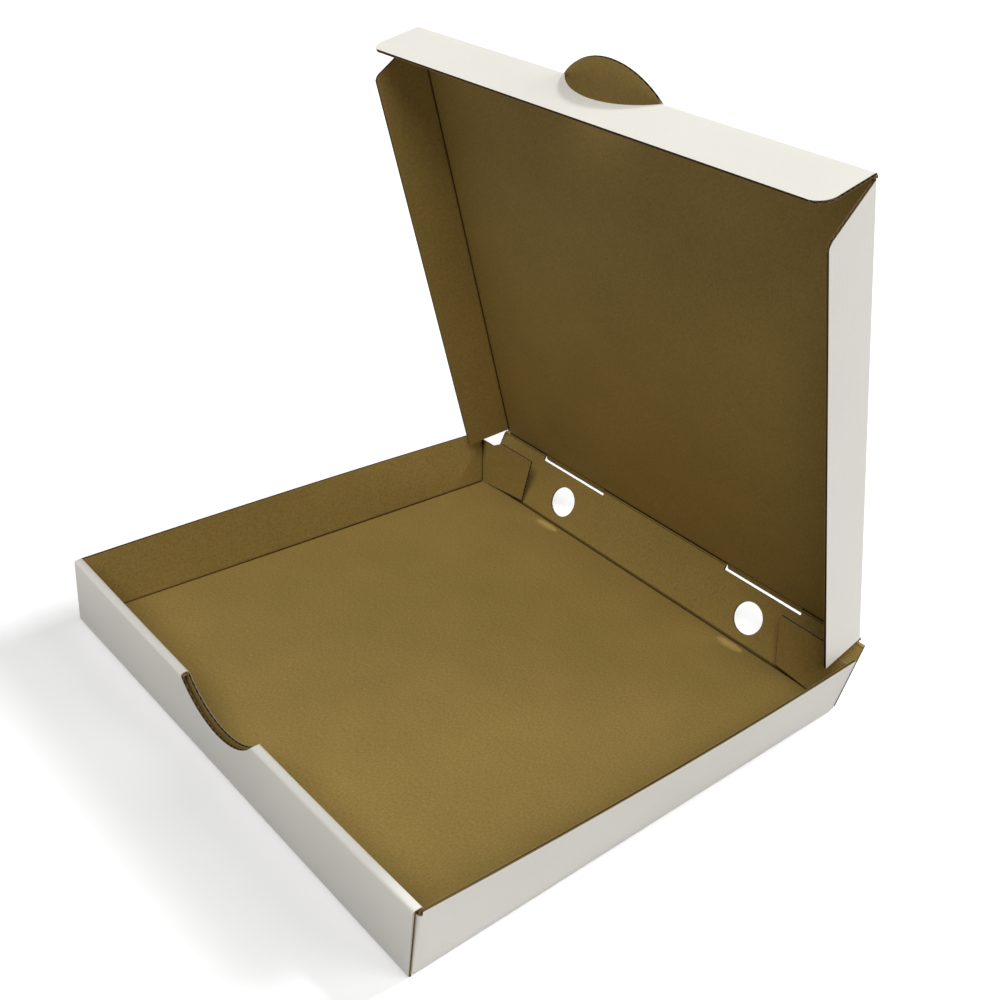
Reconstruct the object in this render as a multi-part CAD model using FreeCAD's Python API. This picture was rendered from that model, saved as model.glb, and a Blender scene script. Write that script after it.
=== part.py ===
import FreeCAD, Part

import math
import os

# A pizza box of thin corrugated board, cut and creased from one sheet, standing open.
# The tray has leaning side walls, a front wall rolled over to two plies with a thumb notch,
# and four corner flaps. The back wall turns on the floor's rear crease, and the lid on the
# back wall's top crease. Sizes are in millimetres and degrees. Z is up and the front is at -Y.
# The origin is the centre of the floor's underside.

Vec = FreeCAD.Vector

# The sheet
board = 1.5
crease_gap = 0.22        # left free each side of a crease that turns
loose_fit = 0.35         # between board and board where one lies beside another
bend_flats = 3           # flats round a fold of a bowed wall

# The tray
box_width = 305.0
box_depth = 305.0
side_height = 39.0
side_lean_front = 2.5
side_lean_middle = 9.3
side_lean_back = 8.7

# The front wall, rolled over to two plies
front_height = 40.0
front_lean_end = 0.7
front_lean_middle = 3.0
rim_width = 5.2
notch_width = 65.5
notch_depth = 16.0
lock_tab_width = 30.0
lock_tab_spacing = 150.0
ply_end_gap = 0.8        # between the rolled plies and the side walls

# The corner flaps
front_flap_length = 40.0
back_flap_length = 45.0
back_flap_height = 38.0
back_flap_root_height = 32.6  # low beside its root, where the lid's side flap passes
back_flap_root_length = 11.0
back_flap_top_slope = 9.0     # length over which the top edge rises to its full height
back_flap_foot_rise = 3.3     # the bottom edge lifts towards the free edge
back_flap_end_slant = 4.8     # the free edge is longer at its top
corner_flap_foot = 2.2
back_flap_turn = 0.9          # turned towards the back wall
back_flap_setback = 4.2       # from the box's rear face to the flap's front face

# The back wall
back_width = 303.0
back_height = 40.0
back_lean = 22.5
vent_diameter = 20.0
vent_spacing = 160.6
vent_height = 17.4

# The lid
lid_width = 296.5
lid_depth = 296.0
lid_lean = 20.65         # from upright, towards the front
lid_flap_width = 34.5
side_flap_splay = 4.5
side_flap_start = 4.0    # from the hinge, at the crease
side_flap_end = 3.0      # from the front crease, at the crease
side_flap_rear_taper = 8.0    # the ends slant by this much towards the free edge
side_flap_front_taper = 12.5
side_flap_round = 5.0    # radius of the free corner at the front
front_flap_splay = 5.0
front_flap_inset = 0.3
front_flap_corner = 9.0
tab_width = 64.5
tab_height = 14.8

# The hinge slots, and the tongues of the lid that they free
tongue_inner = 52.6
tongue_outer = 108.9
tongue_length = 3.5
slot_depth = 4.7
slot_side_gap = 0.6
tongue_corner = 1.0

half_width = box_width / 2
half_depth = box_depth / 2


def cos(angle):
    return math.cos(math.radians(angle))


def sin(angle):
    return math.sin(math.radians(angle))


def tan(angle):
    return math.tan(math.radians(angle))


def line(a, b):
    return Part.makeLine(a, b)


def arc(a, middle, b):
    return Part.Arc(a, middle, b).toShape()


def plate(points, thickness_vector):
    """A flat piece of board, from the corners of one face."""
    face = Part.Face(Part.makePolygon(points + points[:1]))
    return face.extrude(thickness_vector)


def mirrored(shape):
    """The same piece on the other side of the box."""
    return shape.mirror(Vec(0, 0, 0), Vec(1, 0, 0))


def fold_wire(lean, height, place):
    """Section of a wall folded up from the edge of a flat panel.

    The inner crease is at (0, 0), the panel lies below it, and the outer corner is round.
    place turns (outward, up) into a point in space.
    """
    def at(along, outward):
        return place(along * sin(lean) + outward * cos(lean),
                     along * cos(lean) - outward * sin(lean))

    def round_at(angle):
        return place(board * cos(angle), -board * sin(angle))

    reach = height - board
    edges = [
        line(place(0, 0), at(reach, 0)),
        line(at(reach, 0), at(reach, board)),
        line(at(reach, board), at(0, board)),
        arc(round_at(lean), round_at((lean + 90) / 2), round_at(90)),
        line(place(0, -board), place(0, 0)),
    ]
    return Part.Wire(edges)


def bend(centre, start, end):
    """Points round a fold that runs along a bowed wall, where it is nipped into flats.

    centre, start and end are points of one section, and start and end are a board away
    from the centre.
    """
    a, b = start - centre, end - centre
    turn = math.acos(a.dot(b) / board ** 2)
    points = []
    for step in range(bend_flats + 1):
        share = turn * step / bend_flats
        points.append(centre + (a * math.sin(turn - share) + b * math.sin(share)) / math.sin(turn))
    return points


def hinge_profile(foot, top, place):
    """Section of a panel between two mitred creases, from its outer face inwards."""
    corners = [
        place(foot, 0),
        place(top, 0),
        place(top - board, board),
        place(foot + board, board),
    ]
    return Part.Face(Part.makePolygon(corners + corners[:1]))


# The tray

def make_floor():
    front = -half_depth + board
    rear_below = half_depth - crease_gap
    rear_above = rear_below - board
    side = half_width - board
    section = [
        Vec(-side, front, 0),
        Vec(-side, rear_below, 0),
        Vec(-side, rear_above, board),
        Vec(-side, front, board),
    ]
    floor = plate(section, Vec(2 * side, 0, 0))
    slot_width = lock_tab_width + 2 * loose_fit
    slot_front = -half_depth + rim_width - board - loose_fit
    for side_sign in (-1, 1):
        slot = Part.makeBox(slot_width, board + 2 * loose_fit, 3 * board)
        slot.translate(Vec(side_sign * lock_tab_spacing / 2 - slot_width / 2, slot_front, -board))
        floor = floor.cut(slot)
    return floor


def side_section(y, lean):
    """Section of the right side wall, leaning out from the floor's side crease."""
    crease = Vec(half_width - board, y, board)
    along = Vec(sin(lean), 0, cos(lean)) * (side_height - board)
    outward = Vec(cos(lean), 0, -sin(lean)) * board
    below = crease - Vec(0, 0, board)
    corners = [crease, crease + along, crease + along + outward]
    corners += bend(crease, crease + outward, below)
    return Part.makePolygon(corners + corners[:1])


side_front = -half_depth + 2 * board + loose_fit
side_rear = half_depth - back_flap_setback


def make_right_wall():
    """The right side wall, which bows outwards between its ends."""
    sections = [
        side_section(side_front, side_lean_front),
        side_section(0, side_lean_middle),
        side_section(side_rear, side_lean_back),
    ]
    return Part.makeLoft(sections, True, False)


def corner_fold(y, direction, lean, low, high):
    """The rounded upright fold between the end of the right wall and its corner flap."""
    def sector(z):
        centre = Vec(half_width - board + (z - board) * tan(lean), y, z)
        beside = centre + Vec(board, 0, 0)
        ahead = centre + Vec(0, direction * board, 0)
        between = centre + Vec(board * cos(45), direction * board * sin(45), 0)
        return Part.Wire([line(centre, beside), arc(beside, between, ahead), line(ahead, centre)])
    return Part.makeLoft([sector(low), sector(high)], True, True)


def make_front_corner_flap():
    """The right wall's front flap, held between the two plies of the front wall."""
    low = corner_flap_foot
    high = front_height - 2 * board - loose_fit
    root = half_width - board
    free = root - front_flap_length
    points = [
        Vec(root + (low - board) * tan(side_lean_front), side_front, low),
        Vec(root + (high - board) * tan(side_lean_front), side_front, high),
        Vec(free, side_front, high),
        Vec(free, side_front, low),
    ]
    flap = plate(points, Vec(0, -board, 0))
    return flap.fuse(corner_fold(side_front, -1, side_lean_front, low, high))


def make_back_corner_flap():
    """The right wall's rear flap, which stands free in front of the back wall."""
    low = corner_flap_foot
    high = back_flap_root_height
    root = half_width - board
    free = root - back_flap_length
    shoulder = root + (high - board) * tan(side_lean_back) - back_flap_root_length
    points = [
        Vec(root + (low - board) * tan(side_lean_back), side_rear, low),
        Vec(root + (high - board) * tan(side_lean_back), side_rear, high),
        Vec(shoulder, side_rear, high),
        Vec(shoulder - back_flap_top_slope, side_rear, back_flap_height),
        Vec(free, side_rear, back_flap_height),
        Vec(free + back_flap_end_slant, side_rear, low + back_flap_foot_rise),
    ]
    flap = plate(points, Vec(0, board, 0))
    flap.rotate(Vec(root, side_rear, 0), Vec(0, 0, 1), -back_flap_turn)
    return flap.fuse(corner_fold(side_rear, 1, side_lean_back, low, high))


def front_section(x, lean):
    """The rolled front wall: outer ply, rim and inner ply, hung from one another."""
    def at(along, inward):
        return Vec(x, -half_depth + board - along * sin(lean) + inward * cos(lean),
                   board + along * cos(lean) + inward * sin(lean))

    under = front_height - 2 * board
    top = front_height - board
    gap_end = rim_width - 2 * board
    inside = rim_width - board
    crease = at(0, 0)
    corners = [crease, at(under, 0), at(under, gap_end), at(loose_fit, gap_end),
               at(loose_fit, inside)]
    corners += bend(at(under, gap_end), at(under, inside), at(top, gap_end))
    corners += bend(at(under, 0), at(top, 0), at(under, -board))
    corners += bend(crease, at(0, -board), crease - Vec(0, 0, board))
    return Part.makePolygon(corners + corners[:1])


def make_front_wall():
    half = half_width - crease_gap
    sections = [
        front_section(-half, front_lean_end),
        front_section(0, front_lean_middle),
        front_section(half, front_lean_end),
    ]
    wall = Part.makeLoft(sections, True, False)
    # The outer ply and the rim reach past the side walls, and the inner ply ends short of them.
    ply_half = half_width - board - ply_end_gap
    for side_sign in (-1, 1):
        low_x = ply_half if side_sign > 0 else -ply_half - 3 * board
        trim = Part.makeBox(3 * board, 2 * rim_width, front_height - 2 * board)
        trim.translate(Vec(low_x, -half_depth + board - loose_fit, board))
        wall = wall.cut(trim)
    # The inner ply locks into the floor with two tabs.
    inner_face = -half_depth + rim_width
    for side_sign in (-1, 1):
        tab = Part.makeBox(lock_tab_width, board, 3 * board - loose_fit)
        tab.translate(Vec(side_sign * lock_tab_spacing / 2 - lock_tab_width / 2,
                          inner_face - board, loose_fit))
        wall = wall.fuse(tab)
    return wall.cut(round_cut(notch_width, notch_depth))


def round_cut(width, depth):
    """A round-bottomed cutter for the thumb notch, through both plies."""
    radius = (width ** 2 / 4 + depth ** 2) / (2 * depth)
    centre = Vec(0, -half_depth - 4 * rim_width, front_height - depth + radius)
    return Part.makeCylinder(radius, 8 * rim_width, centre, Vec(0, 1, 0))


def make_tray():
    right = make_right_wall()
    pieces = [right, make_front_corner_flap(), make_back_corner_flap()]
    tray = make_floor().fuse(make_front_wall())
    for piece in pieces:
        tray = tray.fuse(piece).fuse(mirrored(piece))
    return tray.removeSplitter()


# The back wall, drawn flat with X across, Y up the wall and Z inwards, then leant back

def make_back_wall():
    start = Vec(-back_width / 2, 0, 0)
    profile = hinge_profile(crease_gap, back_height - crease_gap,
                            lambda along, inward: start + Vec(0, along, inward))
    wall = profile.extrude(Vec(back_width, 0, 0))
    slot_width = tongue_outer - tongue_inner + 2 * slot_side_gap
    for side_sign in (-1, 1):
        vent = Part.makeCylinder(vent_diameter / 2, 4 * board,
                                 Vec(side_sign * vent_spacing / 2, vent_height, -board))
        middle = side_sign * (tongue_inner + tongue_outer) / 2
        slot = Part.makeBox(slot_width, 2 * slot_depth, 4 * board)
        slot.translate(Vec(middle - slot_width / 2, back_height - slot_depth, -board))
        wall = wall.cut(vent).cut(slot)
    wall.Placement = FreeCAD.Placement(Vec(0, half_depth, 0),
                                       FreeCAD.Rotation(Vec(1, 0, 0), 90 - back_lean))
    return wall


# The lid, drawn flat with X across, Y from the hinge to the front crease and Z inwards

half_lid = lid_width / 2
panel_side = half_lid - board
panel_front = lid_depth - board


def make_lid_panel():
    corners = [
        Vec(-panel_side, crease_gap, 0),
        Vec(-panel_side, panel_front, 0),
        Vec(-panel_side, panel_front, board),
        Vec(-panel_side, crease_gap + board, board),
    ]
    panel = plate(corners, Vec(2 * panel_side, 0, 0))
    # Beyond the ends of the side flaps the panel runs out to the lid's full width.
    for side_sign in (-1, 1):
        low_x = panel_side if side_sign > 0 else -half_lid
        rear = Part.makeBox(board, side_flap_start - board - crease_gap, board)
        rear.translate(Vec(low_x, board + crease_gap, 0))
        front = Part.makeBox(board, side_flap_end - board, board)
        front.translate(Vec(low_x, lid_depth - side_flap_end, 0))
        panel = panel.fuse(rear).fuse(front)
    return panel


def make_right_lid_flap():
    """The right side flap: folded in, a little open, and narrower at its free edge."""
    section = fold_wire(side_flap_splay, lid_flap_width,
                        lambda outward, up: Vec(panel_side + outward, 0, board + up))
    flap = Part.Face(section).extrude(Vec(0, lid_depth, 0))
    # Its outline, seen from the side, and the cutter reaches past it both ways across.
    start = side_flap_start
    end = lid_depth - side_flap_end
    free = lid_flap_width
    low_x = half_lid - free
    rear_free = start + side_flap_rear_taper
    front_free = end - side_flap_front_taper
    # The front slant leans from upright, and the free corner is rounded from it to the edge.
    lean = math.degrees(math.atan2(side_flap_front_taper, free))
    r = side_flap_round
    tangent = r * tan((90 - lean) / 2)
    middle_y = front_free - tangent
    centre_z = free - r
    outline = Part.Wire([
        line(Vec(low_x, start, 0), Vec(low_x, rear_free, free)),
        line(Vec(low_x, rear_free, free), Vec(low_x, middle_y, free)),
        arc(Vec(low_x, middle_y, free),
            Vec(low_x, middle_y + r * sin((90 - lean) / 2), centre_z + r * cos((90 - lean) / 2)),
            Vec(low_x, middle_y + r * cos(lean), centre_z + r * sin(lean))),
        line(Vec(low_x, middle_y + r * cos(lean), centre_z + r * sin(lean)), Vec(low_x, end, 0)),
        line(Vec(low_x, end, 0), Vec(low_x, start, 0)),
    ])
    return flap.common(Part.Face(outline).extrude(Vec(2 * free, 0, 0)))


def make_front_lid_flap():
    """The front flap, with round free corners and the half-moon that the tab leaves."""
    half = half_lid - front_flap_inset
    section = fold_wire(front_flap_splay, lid_flap_width,
                        lambda outward, up: Vec(-half, panel_front + outward, board + up))
    flap = Part.Face(section).extrude(Vec(2 * half, 0, 0))
    free = lid_flap_width
    corner = front_flap_corner
    bend = corner * (1 - cos(45))
    low_y = lid_depth - free
    outline = Part.Wire([
        line(Vec(-half, low_y, 0), Vec(half, low_y, 0)),
        line(Vec(half, low_y, 0), Vec(half, low_y, free - corner)),
        arc(Vec(half, low_y, free - corner), Vec(half - bend, low_y, free - bend),
            Vec(half - corner, low_y, free)),
        line(Vec(half - corner, low_y, free), Vec(corner - half, low_y, free)),
        arc(Vec(corner - half, low_y, free), Vec(bend - half, low_y, free - bend),
            Vec(-half, low_y, free - corner)),
        line(Vec(-half, low_y, free - corner), Vec(-half, low_y, 0)),
    ])
    flap = flap.common(Part.Face(outline).extrude(Vec(0, 2 * free, 0)))
    radius, centre = tab_circle()
    hole = Part.makeCylinder(radius + loose_fit, 4 * front_flap_corner,
                             Vec(0, panel_front, -centre), Vec(0, 1, 0))
    return flap.cut(hole)


def tab_circle():
    """Radius of the half-moon, and how far its centre lies behind the crease."""
    radius = (tab_width ** 2 / 4 + tab_height ** 2) / (2 * tab_height)
    return radius, radius - tab_height


def make_tab():
    """The half-moon thumb tab, which stays in the plane of the lid."""
    radius, centre = tab_circle()
    disc = Part.makeCylinder(radius, board, Vec(0, lid_depth - centre, 0))
    beyond = Part.makeBox(2 * radius, 2 * radius, board)
    beyond.translate(Vec(-radius, panel_front, 0))
    sides = Part.makeBox(tab_width, 2 * radius, board)
    sides.translate(Vec(-tab_width / 2, panel_front, 0))
    return disc.common(beyond).common(sides)


def make_tongue():
    """One of the two tongues, which reaches past the hinge into a slot of the back wall."""
    r = tongue_corner
    bend = r * (1 - cos(45))
    low, high = -tongue_length, crease_gap + 2 * board
    left, right = tongue_inner, tongue_outer
    outline = Part.Wire([
        line(Vec(left, high, 0), Vec(left, low + r, 0)),
        arc(Vec(left, low + r, 0), Vec(left + bend, low + bend, 0), Vec(left + r, low, 0)),
        line(Vec(left + r, low, 0), Vec(right - r, low, 0)),
        arc(Vec(right - r, low, 0), Vec(right - bend, low + bend, 0), Vec(right, low + r, 0)),
        line(Vec(right, low + r, 0), Vec(right, high, 0)),
        line(Vec(right, high, 0), Vec(left, high, 0)),
    ])
    return Part.Face(outline).extrude(Vec(0, 0, board))


def make_lid():
    right_flap = make_right_lid_flap()
    tongue = make_tongue()
    lid = make_lid_panel().fuse(make_front_lid_flap()).fuse(make_tab())
    for piece in (right_flap, tongue):
        lid = lid.fuse(piece).fuse(mirrored(piece))
    lid = lid.removeSplitter()
    hinge = Vec(0, half_depth + back_height * sin(back_lean), back_height * cos(back_lean))
    lid.Placement = FreeCAD.Placement(hinge, FreeCAD.Rotation(Vec(1, 0, 0), 90 + lid_lean))
    return lid


nodes = {
    "tray": make_tray(),
    "back_wall": make_back_wall(),
    "lid": make_lid(),
}

os.makedirs("parts", exist_ok=True)
for name, shape in nodes.items():
    box = shape.BoundBox
    print(name, "solids", len(shape.Solids), "valid", shape.isValid(),
          "volume %.0f" % shape.Volume,
          "x %.1f..%.1f y %.1f..%.1f z %.1f..%.1f"
          % (box.XMin, box.XMax, box.YMin, box.YMax, box.ZMin, box.ZMax))
    shape.exportStep("parts/" + name + ".step")
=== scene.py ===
import math

import bpy
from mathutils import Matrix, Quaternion, Vector
from mathutils.bvhtree import BVHTree


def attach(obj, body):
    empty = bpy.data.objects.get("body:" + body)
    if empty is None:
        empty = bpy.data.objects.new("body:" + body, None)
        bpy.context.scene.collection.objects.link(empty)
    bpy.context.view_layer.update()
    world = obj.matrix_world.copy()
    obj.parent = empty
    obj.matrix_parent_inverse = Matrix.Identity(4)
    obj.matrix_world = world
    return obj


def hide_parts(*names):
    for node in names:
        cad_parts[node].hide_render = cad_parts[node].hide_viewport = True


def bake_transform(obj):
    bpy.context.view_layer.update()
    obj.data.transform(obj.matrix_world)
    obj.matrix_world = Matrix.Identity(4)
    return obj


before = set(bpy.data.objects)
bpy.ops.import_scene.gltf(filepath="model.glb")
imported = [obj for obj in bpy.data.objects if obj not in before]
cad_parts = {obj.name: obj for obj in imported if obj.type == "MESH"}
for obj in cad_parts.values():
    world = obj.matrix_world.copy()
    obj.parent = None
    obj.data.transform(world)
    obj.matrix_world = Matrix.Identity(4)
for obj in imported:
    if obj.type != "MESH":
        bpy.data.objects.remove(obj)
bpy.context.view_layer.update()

# The tray: the floor of the blank with its side walls, corner flaps and rolled front wall.
# Thin corrugated board, with a white clay-coated liner outside, a brown kraft liner inside,
# and the wavy core showing wherever the board is cut.

board = 0.0015  # thickness
half_width = 0.1525  # of the floor, to its outer fold lines
half_depth = 0.1525
floor_edge = half_width - board  # inner fold line of the side walls
side_front = -0.14915  # the side walls' ends, where their corner flaps fold round
side_rear = 0.1483
hinge_gap = 0.00022  # left open at each mitre of a crease that turns
rear_fold = half_depth - hinge_gap - board
flap_middle = (0.131, 0.020)  # x and z on a corner flap's outer face
front_flap_face = -0.15065
rear_flap_face = 0.15015
fold_foot = 0.0022  # a corner flap's fold, from its foot to its top
fold_top = 0.037
knife_gap = 0.00005
flute_pitch = 0.0032
liner_thickness = 0.00022
liner_bevel = 0.00004
core_depth = 0.0007  # how far the core lies behind a cut edge
fold_angle = math.radians(38)  # what turns more sharply is an edge, not a fold
fine_crease = {"width": 0.0005, "depth": 0.0003}
WHITE, BROWN, CUT = 0, 1, 2


def only(piece, mode="OBJECT"):
    """Makes this piece the only one that the next operators act on."""
    if bpy.context.mode != "OBJECT":
        bpy.ops.object.mode_set(mode="OBJECT")
    bpy.ops.object.select_all(action="DESELECT")
    piece.select_set(True)
    bpy.context.view_layer.objects.active = piece
    if mode == "EDIT":
        bpy.ops.object.mode_set(mode="EDIT")
        bpy.ops.mesh.select_mode(type="FACE")
        bpy.ops.mesh.select_all(action="DESELECT")
        bpy.ops.object.mode_set(mode="OBJECT")


def cut_panel(node, name):
    """The panel's shape as one closed skin of its own, its doubles merged and flats joined."""
    piece = bpy.data.objects.new(name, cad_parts[node].data.copy())
    bpy.context.scene.collection.objects.link(piece)
    only(piece)
    piece.data.materials.clear()
    bpy.ops.mesh.customdata_custom_splitnormals_clear()
    bpy.ops.object.mode_set(mode="EDIT")
    bpy.ops.mesh.select_all(action="SELECT")
    bpy.ops.mesh.remove_doubles(threshold=1e-6)
    bpy.ops.mesh.dissolve_limited(angle_limit=math.radians(0.05))
    bpy.ops.object.mode_set(mode="OBJECT")
    return piece


def line_the_board(piece, outwards, flaps=()):
    """White on the skin that runs on from the widest outer face, brown on what backs a skin.

    flaps gives a point and the outward normal of each flap whose skin a narrow cut parts off.
    What is neither is a cut edge.
    """
    mesh = piece.data
    only(piece, "EDIT")
    wide = [f for f in mesh.polygons if f.normal.dot(Vector(outwards)) > 0.9999]
    max(wide, key=lambda f: f.area).select = True
    for point, normal in flaps:
        flats = [f for f in mesh.polygons if f.normal.dot(Vector(normal)) > 0.999]
        min(flats, key=lambda f: (f.center - Vector(point)).length).select = True
    bpy.ops.object.mode_set(mode="EDIT")
    bpy.ops.mesh.faces_select_linked_flat(sharpness=fold_angle)
    bpy.ops.object.mode_set(mode="OBJECT")
    tree = BVHTree.FromPolygons([v.co for v in mesh.vertices],
                                [f.vertices for f in mesh.polygons])
    for face in mesh.polygons:
        face.material_index = WHITE if face.select else CUT
    mesh.calc_loop_triangles()
    for corner in mesh.loop_triangles:
        face = mesh.polygons[corner.polygon_index]
        if face.material_index != CUT or corner.area < 1e-9:
            continue
        middle = sum((mesh.vertices[v].co for v in corner.vertices), Vector()) / 3
        hit, normal, index, far = tree.ray_cast(middle - face.normal * 1e-5, -face.normal)
        if hit is not None and abs(far - board) < 0.12e-3 and normal.dot(face.normal) < -0.98:
            face.material_index = BROWN


def fold_faces(piece, outwards):
    """Brown on the faces that look this way, which are the two sides of a crease that turns."""
    for face in piece.data.polygons:
        if face.material_index == CUT and face.normal.dot(Vector(outwards)) > 0.999:
            face.material_index = BROWN


def press_crease(piece, start, end, first, second, push, width=0.0011, depth=0.00045):
    """Presses a score line into the brown liner, along the fold from start to end.

    first and second point from the line along its two panels, and push into the board. The
    line's two sides are cut width away from it, so that only they slope down to it.
    """
    mesh = piece.data
    start, end = Vector(start), Vector(end)
    along = (end - start).normalized()
    reach = (end - start).length

    def on_line(point):
        offset = point - start
        place = offset.dot(along)
        return -1e-5 < place < reach + 1e-5 and (offset - along * place).length < 3e-5

    for side in (Vector(first), Vector(second)):
        only(piece, "EDIT")
        for face in mesh.polygons:
            if face.material_index == BROWN:
                on = [v for v in face.vertices if on_line(mesh.vertices[v].co)]
                face.select = bool(on) and (face.center - start).dot(side) > 1e-5
        bpy.ops.object.mode_set(mode="EDIT")
        bpy.ops.mesh.bisect(plane_co=start + side * width, plane_no=side)
        bpy.ops.object.mode_set(mode="OBJECT")
    # The pressed line's points are marked, and the liners darken them as painted crease shade
    score_line_shade = mesh.attributes.get("score_line_shade") or mesh.attributes.new("score_line_shade", "FLOAT", "POINT")
    for vertex in mesh.vertices:
        if on_line(vertex.co):
            vertex.co += Vector(push).normalized() * depth
            score_line_shade.data[vertex.index].value = 1.0


def run_of_board(piece, across_flutes):
    """UV map of the blank: U across the flutes, V from white (0) to brown (1) on cut edges."""
    mesh = piece.data
    kinds = [set() for v in mesh.vertices]
    for face in mesh.polygons:
        for v in face.vertices:
            kinds[v].add(face.material_index)
    layer = mesh.uv_layers.new(name="run")
    for face in mesh.polygons:
        for loop in face.loop_indices:
            v = mesh.loops[loop].vertex_index
            point = mesh.vertices[v].co
            u = across_flutes(point, face.center)
            layer.data[loop].uv = (u, 0.0 if WHITE in kinds[v] else 1.0)


def smooth_folds(piece):
    """Smooth round the folds of the skin, and flat on both sides of a pressed crease."""
    only(piece)
    bpy.ops.object.shade_smooth_by_angle(angle=fold_angle)
    score_line_shade = piece.data.attributes["score_line_shade"].data
    for face in piece.data.polygons:
        if any(score_line_shade[v].value > 0 for v in face.vertices):
            face.use_smooth = False


def open_the_edges(piece):
    """Sinks the cut edges between the two liners, so that the fluted core lies deeper."""
    mesh = piece.data
    only(piece, "EDIT")
    for face in mesh.polygons:
        corners = [mesh.vertices[v].co for v in face.vertices]
        sides = [(a - b).length for a, b in zip(corners, corners[1:] + corners[:1])]
        breadth = 2 * face.area / sum(sides)
        face.select = face.material_index == CUT and breadth > 0.00045 and min(sides) > 0.0002
    bpy.ops.object.mode_set(mode="EDIT")
    bpy.ops.mesh.inset(thickness=liner_thickness, depth=0.0, use_even_offset=True)
    bpy.ops.mesh.inset(thickness=liner_bevel, depth=-core_depth, use_even_offset=True)
    bpy.ops.object.mode_set(mode="OBJECT")


def node_of(nodes, kind, place, **values):
    """A new shader node at that place in the node editor, with its settings."""
    made = nodes.new(kind)
    made.location = place
    for name, value in values.items():
        setattr(made, name, value)
    return made


def liner(name, colour, dark, rough, flute_depth, speckle):
    """Paper liner: mottled pulp, fine fibres, and the flutes that just show through it.

    speckle is the fibres' share of the colour's changes, the rest being the pulp's clouds.
    """
    paper = bpy.data.materials.new(name)
    paper.use_nodes = True
    nodes, links = paper.node_tree.nodes, paper.node_tree.links
    shader = nodes["Principled BSDF"]
    shader.inputs["Roughness"].default_value = rough
    shader.inputs["Specular IOR Level"].default_value = 0.25
    where = node_of(nodes, "ShaderNodeTexCoord", (-1400, 0))

    # Cloudy pulp, a few centimetres across
    cloud = node_of(nodes, "ShaderNodeTexNoise", (-1100, 300))
    cloud.inputs["Scale"].default_value = 24
    cloud.inputs["Detail"].default_value = 5
    # Flecks and fibres, under a millimetre, laid mostly one way
    lay = node_of(nodes, "ShaderNodeMapping", (-1250, 0))
    lay.inputs["Scale"].default_value = (1.0, 0.45, 0.6)
    fibre = node_of(nodes, "ShaderNodeTexNoise", (-1100, 0))
    fibre.inputs["Scale"].default_value = 1100
    fibre.inputs["Detail"].default_value = 3
    fibre.inputs["Roughness"].default_value = 0.7
    links.new(where.outputs["Object"], cloud.inputs["Vector"])
    links.new(where.outputs["Object"], lay.inputs["Vector"])
    links.new(lay.outputs["Vector"], fibre.inputs["Vector"])
    shade = node_of(nodes, "ShaderNodeMath", (-900, 150), operation="MULTIPLY_ADD")
    shade.inputs[1].default_value = speckle
    links.new(fibre.outputs["Fac"], shade.inputs[0])
    part = node_of(nodes, "ShaderNodeMath", (-900, 350), operation="MULTIPLY")
    part.inputs[1].default_value = 1 - speckle
    links.new(cloud.outputs["Fac"], part.inputs[0])
    links.new(part.outputs[0], shade.inputs[2])
    spread = node_of(nodes, "ShaderNodeMapRange", (-700, 150))
    spread.inputs["From Min"].default_value = 0.32
    spread.inputs["From Max"].default_value = 0.68
    links.new(shade.outputs[0], spread.inputs["Value"])
    mix = node_of(nodes, "ShaderNodeMix", (-500, 150), data_type="RGBA")
    mix.inputs["A"].default_value = (*dark, 1)
    mix.inputs["B"].default_value = (*colour, 1)
    links.new(spread.outputs["Result"], mix.inputs["Factor"])

    # Painted shade: the liner is darkened along pressed score lines and over the crease strips'
    # insides
    score_line_shade = node_of(nodes, "ShaderNodeAttribute", (-700, -150), attribute_name="score_line_shade")
    crushed = node_of(nodes, "ShaderNodeMapRange", (-500, -150), interpolation_type="SMOOTHSTEP")
    crushed.inputs["From Min"].default_value = 0.15
    crushed.inputs["From Max"].default_value = 0.9
    links.new(score_line_shade.outputs["Fac"], crushed.inputs["Value"])
    painted_crease_shade = node_of(nodes, "ShaderNodeMix", (-300, 50), data_type="RGBA", blend_type="MULTIPLY")
    painted_crease_shade.inputs["B"].default_value = (0.20, 0.16, 0.10, 1)
    links.new(crushed.outputs["Result"], painted_crease_shade.inputs["Factor"])
    links.new(mix.outputs["Result"], painted_crease_shade.inputs["A"])
    links.new(painted_crease_shade.outputs["Result"], shader.inputs["Base Color"])

    # Relief: the flutes under the liner, then the fibres
    run = node_of(nodes, "ShaderNodeUVMap", (-1100, -400), uv_map="run")
    parts = node_of(nodes, "ShaderNodeSeparateXYZ", (-950, -400))
    links.new(run.outputs["UV"], parts.inputs[0])
    turns = node_of(nodes, "ShaderNodeMath", (-800, -400), operation="MULTIPLY")
    turns.inputs[1].default_value = 2 * math.pi / flute_pitch
    wave = node_of(nodes, "ShaderNodeMath", (-650, -400), operation="SINE")
    links.new(parts.outputs["X"], turns.inputs[0])
    links.new(turns.outputs[0], wave.inputs[0])
    relief = node_of(nodes, "ShaderNodeMath", (-500, -400), operation="MULTIPLY_ADD")
    relief.inputs[1].default_value = flute_depth
    links.new(wave.outputs[0], relief.inputs[0])
    links.new(fibre.outputs["Fac"], relief.inputs[2])
    bump = node_of(nodes, "ShaderNodeBump", (-250, -300))
    bump.inputs["Strength"].default_value = 0.2
    bump.inputs["Distance"].default_value = 0.00012
    links.new(relief.outputs[0], bump.inputs["Height"])
    links.new(bump.outputs["Normal"], shader.inputs["Normal"])
    return paper


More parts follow.
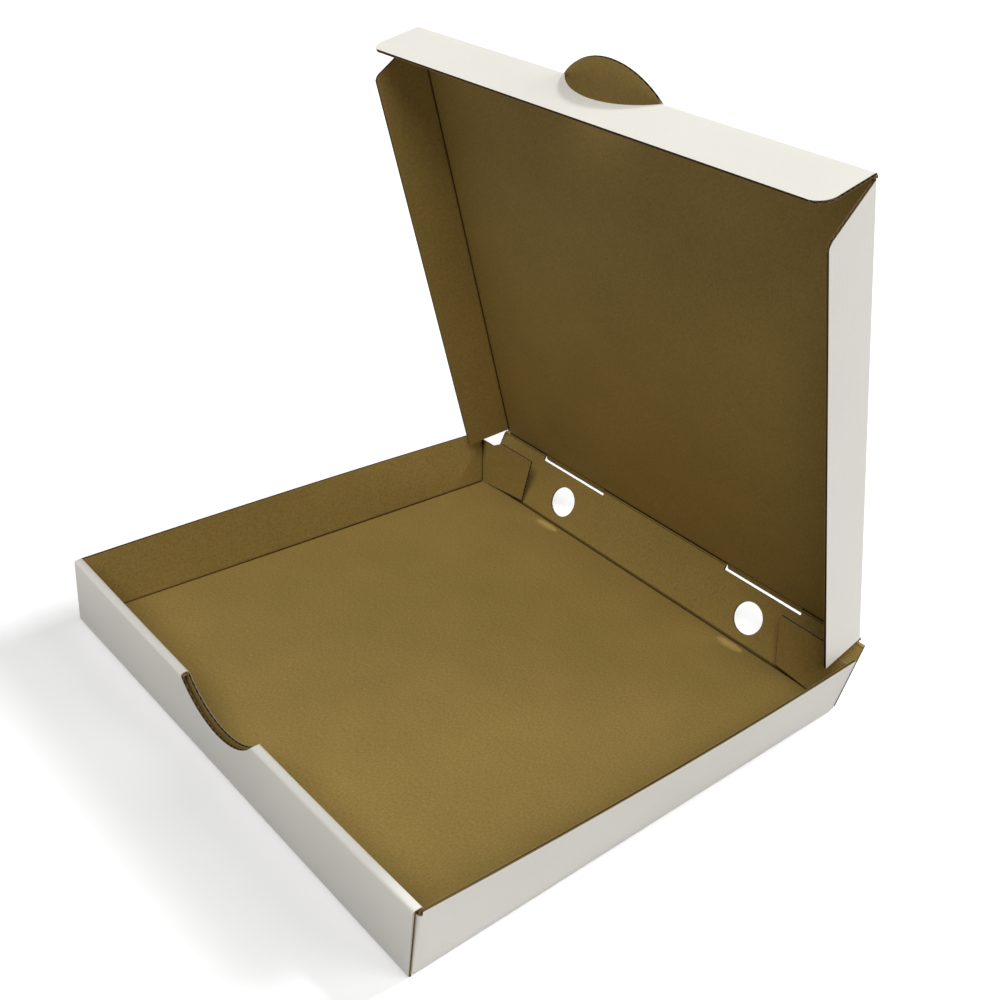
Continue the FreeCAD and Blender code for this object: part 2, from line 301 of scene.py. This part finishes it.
def cut_edge():
    """The board's cut edge: white liner, the wavy core over a gap painted near-black as shade, and
    brown liner darkened as painted shade.
    """
    edge = bpy.data.materials.new("cut corrugated edge")
    edge.use_nodes = True
    nodes, links = edge.node_tree.nodes, edge.node_tree.links
    shader = nodes["Principled BSDF"]
    shader.inputs["Roughness"].default_value = 0.85
    shader.inputs["Specular IOR Level"].default_value = 0.2
    run = node_of(nodes, "ShaderNodeUVMap", (-1300, 0), uv_map="run")
    parts = node_of(nodes, "ShaderNodeSeparateXYZ", (-1150, 0))
    links.new(run.outputs["UV"], parts.inputs[0])
    turns = node_of(nodes, "ShaderNodeMath", (-1000, 100), operation="MULTIPLY")
    turns.inputs[1].default_value = 2 * math.pi / flute_pitch
    links.new(parts.outputs["X"], turns.inputs[0])
    wave = node_of(nodes, "ShaderNodeMath", (-850, 100), operation="SINE")
    links.new(turns.outputs[0], wave.inputs[0])
    # Height of the core in the board, 0.5 being its middle
    height = node_of(nodes, "ShaderNodeMath", (-700, 100), operation="MULTIPLY_ADD")
    height.inputs[1].default_value = 0.30
    height.inputs[2].default_value = 0.50
    links.new(wave.outputs[0], height.inputs[0])
    away = node_of(nodes, "ShaderNodeMath", (-550, 50), operation="SUBTRACT")
    links.new(parts.outputs["Y"], away.inputs[0])
    links.new(height.outputs[0], away.inputs[1])
    far = node_of(nodes, "ShaderNodeMath", (-400, 50), operation="ABSOLUTE")
    links.new(away.outputs[0], far.inputs[0])
    core = node_of(nodes, "ShaderNodeMapRange", (-250, 50))
    core.inputs["From Min"].default_value = 0.09
    core.inputs["From Max"].default_value = 0.16
    core.inputs["To Min"].default_value = 1.0
    core.inputs["To Max"].default_value = 0.0
    links.new(far.outputs[0], core.inputs["Value"])
    core_over_painted_shade = node_of(nodes, "ShaderNodeMix", (-50, 50), data_type="RGBA")
    # Painted shade: the gap between the flutes is near-black, and the core strip is the paper's own
    # brown
    core_over_painted_shade.inputs["A"].default_value = (0.020, 0.013, 0.006, 1)
    core_over_painted_shade.inputs["B"].default_value = (0.16, 0.11, 0.045, 1)
    links.new(core.outputs["Result"], core_over_painted_shade.inputs["Factor"])
    across = node_of(nodes, "ShaderNodeValToRGB", (-400, -250))
    ramp = across.color_ramp
    ramp.interpolation = "CONSTANT"
    ramp.elements[0].color = (0.42, 0.36, 0.27, 1)
    ramp.elements[1].position = 0.5
    # The brown liner's cut edge, darkened as painted shade
    ramp.elements[1].color = (0.20, 0.135, 0.045, 1)
    links.new(parts.outputs["Y"], across.inputs["Fac"])
    skin = node_of(nodes, "ShaderNodeMath", (-400, -500), operation="COMPARE")
    skin.inputs[1].default_value = 0.5
    skin.inputs[2].default_value = 0.36
    links.new(parts.outputs["Y"], skin.inputs[0])
    both = node_of(nodes, "ShaderNodeMix", (120, 0), data_type="RGBA")
    links.new(skin.outputs[0], both.inputs["Factor"])
    links.new(across.outputs["Color"], both.inputs["A"])
    links.new(core_over_painted_shade.outputs["Result"], both.inputs["B"])
    links.new(both.outputs["Result"], shader.inputs["Base Color"])
    shader.location = (350, 0)
    return edge


white_liner = liner("white coated liner", (0.760, 0.736, 0.680), (0.722, 0.699, 0.644),
                    rough=0.55, flute_depth=0.21, speckle=0.5)
brown_liner = liner("brown kraft liner", (0.366, 0.249, 0.0680), (0.238, 0.162, 0.0425),
                    rough=0.80, flute_depth=0.26, speckle=0.78)
cut_board = cut_edge()


def finish_board(piece, across_flutes):
    """What every panel has once it is lined and creased: flutes, opened edges and liners."""
    run_of_board(piece, across_flutes)
    open_the_edges(piece)
    for finish in (white_liner, brown_liner, cut_board):
        piece.data.materials.append(finish)
    smooth_folds(piece)


def tray_run(point, centre):
    """Flutes run from front to back, so they lie level in the side walls and their flaps."""
    in_flap = abs(centre.y) > side_rear and centre.z > fold_foot - 0.0002 and abs(centre.x) > 0.1
    level = abs(centre.x) > half_width - board or (in_flap and centre.y > 0)
    return point.z if level else point.x


tray_board = cut_panel("tray", "tray_board")
line_the_board(tray_board, (0, 0, -1), [
    ((side * flap_middle[0], y, flap_middle[1]), (0, towards, 0))
    for side in (-1, 1) for y, towards in ((front_flap_face, -1), (rear_flap_face, 1))
])
fold_faces(tray_board, (0, math.sqrt(0.5), math.sqrt(0.5)))
# The side walls' white skin goes on round the folds of their corner flaps, front and rear
for face in tray_board.data.polygons:
    x, y, z = face.center
    outwards = Vector((math.copysign(1, x), math.copysign(1, y), 0))
    in_fold = side_front - board - knife_gap < y < side_front or y > side_rear + 1e-5
    if in_fold and abs(x) > floor_edge - 0.001 and z < fold_top and face.normal.dot(outwards) > 0.5:
        face.material_index = WHITE
# The folds are cut free of the floor by no more than a knife's width
for vertex in tray_board.data.vertices:
    if abs(vertex.co.z - fold_foot) < 1e-5 and abs(vertex.co.x) > floor_edge - 0.0005:
        vertex.co.z = board + knife_gap
for side in (-1, 1):
    press_crease(tray_board, (side * floor_edge, side_front, board),
                 (side * floor_edge, side_rear, board),
                 (-side, 0, 0), (0, 0, 1), (side, 0, -1))
    # The rear corner flap's root is its inner face's two outermost corners
    flap = max((f for f in tray_board.data.polygons
                if f.normal.y < -0.999 and side * f.center.x > 0.11 and 0.147 < f.center.y < 0.15),
               key=lambda f: f.area)
    corners = [tray_board.data.vertices[v].co for v in flap.vertices]
    top, foot = sorted(corners, key=lambda co: -side * co.x)[:2]
    press_crease(tray_board, foot.copy(), top.copy(), (0, -1, 0), (-side, 0, 0), (side, 1, 0))
press_crease(tray_board, (-floor_edge, rear_fold, board), (floor_edge, rear_fold, board),
             (0, -1, 0), Vector((0, 1, -1)).normalized(), (0, -1, -1), **fine_crease)
finish_board(tray_board, tray_run)
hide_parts("tray")
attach(tray_board, "tray")

# The back wall: one narrow panel with two round steam vents, creased to the floor below and
# to the lid above, with the two slots that the lid's tongues leave when it is raised.

back_wall_board = cut_panel("back_wall", "back_wall_board")
wall_height = 0.040  # between its two outer fold lines
wall_end = 0.1515  # past which no crease is pressed
wall_lean = math.radians(22.5)
wall_up = Vector((0, math.sin(wall_lean), math.cos(wall_lean)))
wall_in = Vector((0, -math.cos(wall_lean), math.sin(wall_lean)))
back_crease = Vector((0, half_depth, 0))
wall_foot = back_crease + wall_up * (hinge_gap + board) + wall_in * board
wall_top = back_crease + wall_up * (wall_height - hinge_gap - board) + wall_in * board
line_the_board(back_wall_board, -wall_in)
for edge, out in ((wall_foot, -wall_up), (wall_top, wall_up)):
    fold_faces(back_wall_board, (out + wall_in).normalized())
    press_crease(back_wall_board, edge - Vector((wall_end, 0, 0)), edge + Vector((wall_end, 0, 0)),
                 -out, (out - wall_in).normalized(), -out - wall_in, **fine_crease)
finish_board(back_wall_board, lambda point, centre: point.x)
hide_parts("back_wall")
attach(back_wall_board, "back_wall")

# The floor's rear crease, which turns as the lid is raised or lowered: the white liner runs on
# round it unbroken, and inside it the core is crushed to a groove, darkened with painted shade.

bend_step = 0.0002  # between the three bends
skin_depth = 0.00005  # of the strip's outside behind the panels' outer faces
crushed_board = 0.0009  # thickness
crease_lap = 0.0009  # how far the strip reaches behind each panel
groove_reach = 0.0004


def turning_crease(name, spans, axis, lean, turn):
    """The crushed board of a crease, from one panel to the next, bent up by the angle turn.

    spans are its stretches along X, axis is its line on the outer faces, and lean is how far
    the first panel slopes up towards it.
    """
    third = turn / 3
    rise = bend_step * (math.sin(third) + math.sin(2 * third))
    reach = bend_step * (math.cos(third) + math.cos(2 * third)) - rise / math.tan(turn)
    first_bend = -reach - skin_depth * math.tan(turn / 2)
    rows = [first_bend - crease_lap] + [first_bend + step * bend_step for step in range(3)]
    rows.append(rows[-1] + crease_lap)
    bpy.ops.object.select_all(action="DESELECT")
    strips = []
    for low, high in spans:
        bpy.ops.mesh.primitive_grid_add(x_subdivisions=1, y_subdivisions=len(rows) - 1, size=1,
                                        location=(0, 0, 0))
        strip = bpy.context.active_object
        for vertex in strip.data.vertices:
            row = round((vertex.co.y + 0.5) * (len(rows) - 1))
            vertex.co = (high if vertex.co.x > 0 else low, rows[row], skin_depth)
        strips.append(strip)
    only(strips[0])
    for strip in strips:
        strip.select_set(True)
    if len(strips) > 1:
        bpy.ops.object.join()
    crease = bpy.context.active_object
    crease.name = name
    for bend in reversed(rows[1:-1]):
        only(crease, "EDIT")
        for vertex in crease.data.vertices:
            vertex.select = vertex.co.y > bend + 1e-6
        bpy.ops.object.mode_set(mode="EDIT")
        bpy.ops.mesh.select_mode(type="VERT")
        bpy.ops.transform.rotate(value=-third, orient_axis="X",
                                 center_override=(0, bend, skin_depth))
        bpy.ops.object.mode_set(mode="OBJECT")
    only(crease, "EDIT")
    bpy.ops.object.mode_set(mode="EDIT")
    bpy.ops.mesh.select_all(action="SELECT")
    bpy.ops.transform.rotate(value=-lean, orient_axis="X", center_override=(0, 0, 0))
    bpy.ops.transform.translate(value=axis)
    bpy.ops.object.mode_set(mode="OBJECT")
    wall = crease.modifiers.new("board", "SOLIDIFY")
    wall.thickness = crushed_board
    wall.offset = 1
    bpy.ops.object.modifier_apply(modifier="board")
    # The inner side is squeezed to one sharp groove
    inwards = Vector((0, -math.sin(lean + turn / 2), math.cos(lean + turn / 2)))
    groove = axis + inwards * (skin_depth + crushed_board) / math.cos(turn / 2)
    for vertex in crease.data.vertices:
        middle = Vector((vertex.co.x, groove.y, groove.z))
        if (vertex.co - middle).length < groove_reach:
            vertex.co = middle
    only(crease, "EDIT")
    bpy.ops.object.mode_set(mode="EDIT")
    bpy.ops.mesh.select_all(action="SELECT")
    bpy.ops.mesh.remove_doubles(threshold=1e-6)
    bpy.ops.mesh.normals_make_consistent(inside=False)
    bpy.ops.object.mode_set(mode="OBJECT")
    score_line_shade = crease.data.attributes.new("score_line_shade", "FLOAT", "POINT")
    for finish in (white_liner, brown_liner):
        crease.data.materials.append(finish)
    # Brown inside with painted crease shade, white outside
    for face in crease.data.polygons:
        inside = face.normal.dot(inwards) > 0.2
        face.material_index = BROWN if inside else WHITE
        if inside:
            for v in face.vertices:
                score_line_shade.data[v].value = 0.8
    bpy.ops.object.shade_smooth_by_angle(angle=fold_angle)
    return crease


wall_turn = math.pi / 2 - wall_lean
floor_crease = turning_crease("floor_crease", [(-0.1511, 0.1511)], back_crease, 0, wall_turn)
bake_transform(floor_crease)

# The lid: a square panel with two side flaps and a front flap folded in, the half-moon thumb
# tab left in the panel's plane, and the two tongues that reach past the crease.

lid_board = cut_panel("lid", "lid_board")
lid_lean = math.radians(20.65)
lid_up = Vector((0, -math.sin(lid_lean), math.cos(lid_lean)))
lid_in = Vector((0, -math.cos(lid_lean), -math.sin(lid_lean)))
lid_crease = back_crease + wall_up * wall_height
line_the_board(lid_board, -lid_in)
lid_side = 0.14825 - board  # inner fold lines of the side flaps and of the front flap
lid_front = 0.296 - board
side_crease = (0.004, 0.293)  # from the hinge, start and end
front_crease = (0.0326, 0.148)  # from the middle, start and end on each side of the thumb tab
tab_cut = 0.0324


def lid_run(point, centre):
    """Flutes run from the hinge to the front, so they lie level in the side flaps."""
    if abs(centre.x) > lid_side:
        return (point - lid_crease).dot(lid_in)
    return point.x


for side in (-1, 1):
    foot = lid_crease + lid_in * board + Vector((side * lid_side, 0, 0))
    press_crease(lid_board, foot + lid_up * side_crease[0], foot + lid_up * side_crease[1],
                 (-side, 0, 0), lid_in, Vector((side, 0, 0)) - lid_in, width=0.0013)
    # A cut through the inner face beside the thumb tab, so that pressing leaves the tab flat
    only(lid_board, "EDIT")
    for face in lid_board.data.polygons:
        face.select = face.material_index == BROWN and face.normal.dot(lid_in) > 0.9999
    bpy.ops.object.mode_set(mode="EDIT")
    bpy.ops.mesh.bisect(plane_co=(side * tab_cut, 0, 0), plane_no=(side, 0, 0))
    bpy.ops.object.mode_set(mode="OBJECT")
    corner = lid_crease + lid_in * board + lid_up * lid_front
    press_crease(lid_board, corner + Vector((side * front_crease[0], 0, 0)),
                 corner + Vector((side * front_crease[1], 0, 0)),
                 -lid_up, lid_in, lid_up - lid_in)
lid_foot = lid_crease + lid_in * board + lid_up * (hinge_gap + board)
fold_faces(lid_board, (lid_in - lid_up).normalized())
press_crease(lid_board, lid_foot - Vector((lid_side, 0, 0)), lid_foot + Vector((lid_side, 0, 0)),
             lid_up, (-lid_up - lid_in).normalized(), lid_up - lid_in, **fine_crease)
finish_board(lid_board, lid_run)
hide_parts("lid")
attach(lid_board, "lid")

# The lid's rear crease, in three stretches between the ends and the two tongues, crushed like
# the floor's, and bent the less the further the lid is raised.

stretches = [(-0.1467, -0.10955), (-0.05195, 0.05195), (0.10955, 0.1467)]
lid_crease_board = turning_crease("lid_crease", stretches, lid_crease, wall_turn,
                                  wall_lean + lid_lean)
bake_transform(lid_crease_board)

# The studio: a white floor that keeps the box's shadow, a soft lamp high in front, one on the
# right and one behind that shines through the vents, and the camera where the photograph was
# taken from.

bpy.ops.object.select_all(action="DESELECT")
bpy.ops.mesh.primitive_plane_add(size=12, location=(0, 0, -0.0004))
studio_floor = bpy.context.active_object
studio_floor.name = "studio_floor"
pale = bpy.data.materials.new("pale floor")
pale.use_nodes = True
nodes, links = pale.node_tree.nodes, pale.node_tree.links
nodes["Principled BSDF"].inputs["Roughness"].default_value = 0.9
nodes["Principled BSDF"].inputs["Specular IOR Level"].default_value = 0.1
seen = node_of(nodes, "ShaderNodeLightPath", (-700, 0))
shown = node_of(nodes, "ShaderNodeMath", (-500, 0), operation="MAXIMUM")
links.new(seen.outputs["Is Camera Ray"], shown.inputs[0])
links.new(seen.outputs["Is Glossy Ray"], shown.inputs[1])
paint = node_of(nodes, "ShaderNodeMix", (-300, 0), data_type="RGBA")
paint.inputs["A"].default_value = (0.36, 0.36, 0.36, 1)
paint.inputs["B"].default_value = (0.97, 0.97, 0.97, 1)
links.new(shown.outputs[0], paint.inputs["Factor"])
links.new(paint.outputs["Result"], nodes["Principled BSDF"].inputs["Base Color"])
studio_floor.data.materials.append(pale)

world = bpy.data.worlds.new("studio")
world.use_nodes = True
nodes, links = world.node_tree.nodes, world.node_tree.links
air = nodes["Background"]
air.inputs["Color"].default_value = (1, 1, 1, 1)
seen = node_of(nodes, "ShaderNodeLightPath", (-700, 0))
shown = node_of(nodes, "ShaderNodeMath", (-500, 0), operation="MAXIMUM")
links.new(seen.outputs["Is Camera Ray"], shown.inputs[0])
links.new(seen.outputs["Is Transmission Ray"], shown.inputs[1])
level = node_of(nodes, "ShaderNodeMapRange", (-300, 0))
level.inputs["To Min"].default_value = 0.19
level.inputs["To Max"].default_value = 1.0
links.new(shown.outputs[0], level.inputs["Value"])
links.new(level.outputs["Result"], air.inputs["Strength"])
bpy.context.scene.world = world


def soft_lamp(name, towards, strength, spread):
    """A far lamp whose light comes from that direction, with soft shadows."""
    bpy.ops.object.light_add(type="SUN", location=Vector(towards) * 3)
    lamp = bpy.context.active_object
    lamp.name = name
    lamp.data.energy = strength
    lamp.data.angle = math.radians(spread)
    lamp.rotation_mode = "QUATERNION"
    lamp.rotation_quaternion = (-Vector(towards)).to_track_quat("-Z", "Y")


soft_lamp("key_lamp", (0.36, -0.47, 0.81), 2.05, 32)
soft_lamp("side_lamp", (0.663, 0.557, 0.5), 1.2, 40)
soft_lamp("rear_lamp", (0.05, 0.64, 0.77), 1.6, 6)

bpy.ops.object.camera_add(location=(0.41196, -0.38526, 0.43412))
camera = bpy.context.active_object
aim = Vector((0.15759, -0.13532, 0.22872)) - camera.location
roll = Quaternion((0, 0, 1), math.radians(6.37))
camera.rotation_mode = "QUATERNION"
camera.rotation_quaternion = aim.to_track_quat("-Z", "Y") @ roll
camera.data.lens = 44.80
camera.data.sensor_width = 36
camera.data.clip_start = 0.01
bpy.context.scene.camera = camera
bpy.context.scene.view_settings.view_transform = "Standard"
